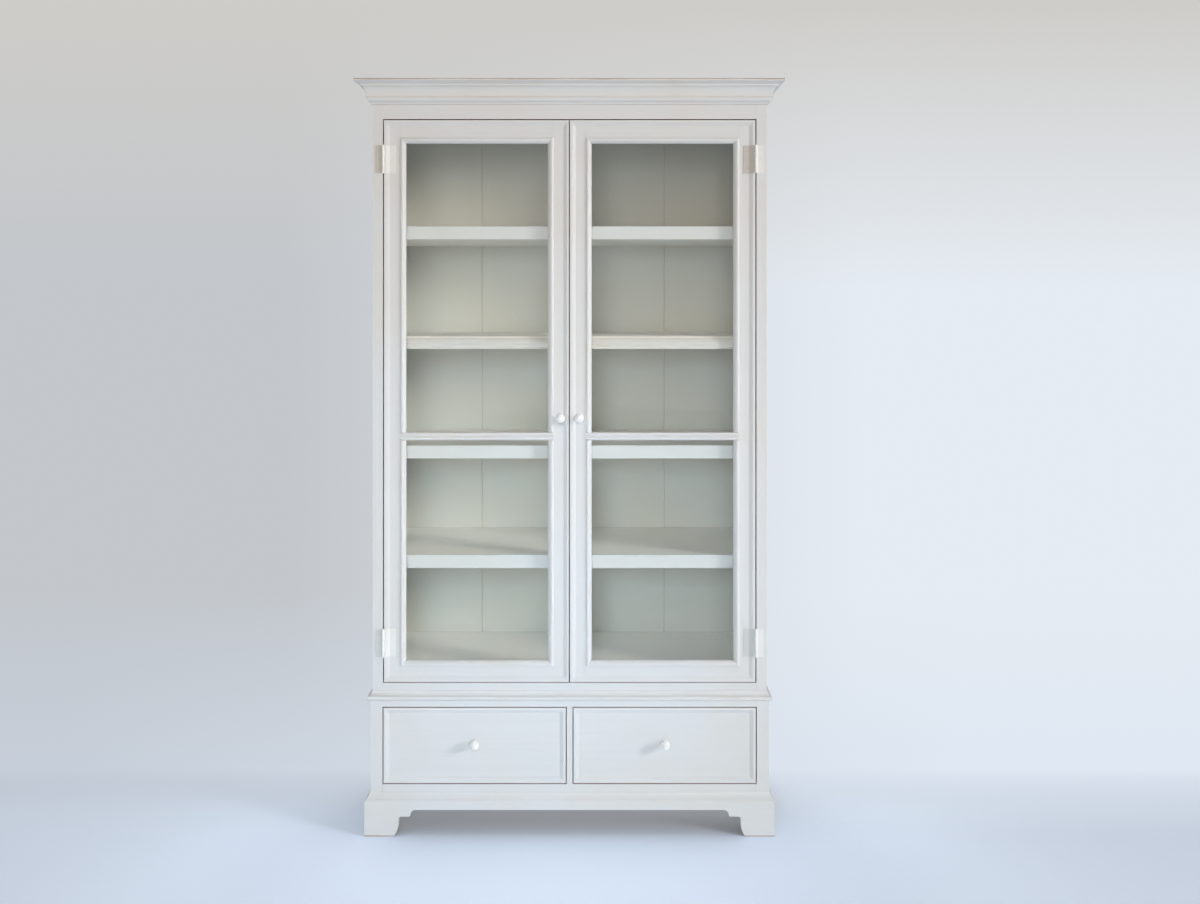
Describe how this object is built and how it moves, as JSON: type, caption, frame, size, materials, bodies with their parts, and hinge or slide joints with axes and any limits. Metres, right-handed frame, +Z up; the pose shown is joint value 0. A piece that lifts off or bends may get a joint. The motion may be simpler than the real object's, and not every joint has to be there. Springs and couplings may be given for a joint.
{
  "type": "display cabinet",
  "caption": "Tall painted wooden display cabinet: glazed hinged doors over shelves, above a chest of drawers on a plinth with bracket feet and a moulded cornice.",
  "frame": {"origin": "on the floor, in the middle of the overall width and depth", "axes": "+X to the viewer's right, +Y to the back, +Z up; the front faces -Y"},
  "size_m": [1.164, 0.458, 2.057],
  "materials": {
    "painted_pine": "hand-brushed off-white paint, worn on the edges",
    "painted_back": "thin off-white paint on back boards",
    "bare_pine": "bare planed softwood",
    "glass": "clear sheet glass",
    "painted_steel": "steel painted over with the cabinet"
  },
  "bodies": {
    "case": {"cornice": "painted_pine", "drawer_partition": "painted_pine", "drawer_runners": "bare_pine", "frieze_rail": "painted_pine", "hinge_frame_leaves": "painted_steel", "hinge_frame_screws": "painted_steel", "hinge_pins": "painted_steel", "lower_back_boards": "bare_pine", "lower_bottom_board": "bare_pine", "lower_bottom_rail": "painted_pine", "lower_left_side": "painted_pine", "lower_left_stile": "painted_pine", "lower_right_side": "painted_pine", "lower_right_stile": "painted_pine", "lower_top_board": "bare_pine", "lower_top_rail": "painted_pine", "plinth_blocks": "bare_pine", "plinth_front": "painted_pine", "plinth_sides": "painted_pine", "shelf_1": "painted_pine", "shelf_2": "painted_pine", "shelf_3": "painted_pine", "shelf_4": "painted_pine", "upper_back_boards": "painted_back", "upper_bottom_rail": "painted_pine", "upper_floor_board": "painted_pine", "upper_left_side": "painted_pine", "upper_left_stile": "painted_pine", "upper_right_side": "painted_pine", "upper_right_stile": "painted_pine", "upper_top_board": "painted_pine", "waist_moulding": "painted_pine"},
    "left_door": {"left_door_bottom_rail": "painted_pine", "left_door_glazing_bar": "painted_pine", "left_door_glazing_strips": "painted_pine", "left_door_hinge_leaves": "painted_steel", "left_door_hinge_screws": "painted_steel", "left_door_hinge_stile": "painted_pine", "left_door_knob": "painted_pine", "left_door_meeting_stile": "painted_pine", "left_door_panes": "glass", "left_door_top_rail": "painted_pine"},
    "right_door": {"right_door_bottom_rail": "painted_pine", "right_door_glazing_bar": "painted_pine", "right_door_glazing_strips": "painted_pine", "right_door_hinge_leaves": "painted_steel", "right_door_hinge_screws": "painted_steel", "right_door_hinge_stile": "painted_pine", "right_door_knob": "painted_pine", "right_door_meeting_stile": "painted_pine", "right_door_panes": "glass", "right_door_top_rail": "painted_pine"},
    "left_drawer": {"left_drawer_bottom": "bare_pine", "left_drawer_front": "painted_pine", "left_drawer_knob": "painted_pine", "left_drawer_walls": "bare_pine"},
    "right_drawer": {"right_drawer_bottom": "bare_pine", "right_drawer_front": "painted_pine", "right_drawer_knob": "painted_pine", "right_drawer_walls": "bare_pine"}
  },
  "joints": [
    {"name": "left_door_hinge", "type": "hinge", "parent": "case", "child": "left_door", "pos_m": [-0.5095, -0.1895, 1.1835], "axis": [0, 0, -1], "range_deg": [0, 170]},
    {"name": "right_door_hinge", "type": "hinge", "parent": "case", "child": "right_door", "pos_m": [0.5095, -0.1895, 1.1835], "axis": [0, 0, 1], "range_deg": [0, 170]},
    {"name": "left_drawer_slide", "type": "slide", "parent": "case", "child": "left_drawer", "axis": [0, -1, 0], "range_m": [0, 0.3]},
    {"name": "right_drawer_slide", "type": "slide", "parent": "case", "child": "right_drawer", "axis": [0, -1, 0], "range_m": [0, 0.3]}
  ]
}
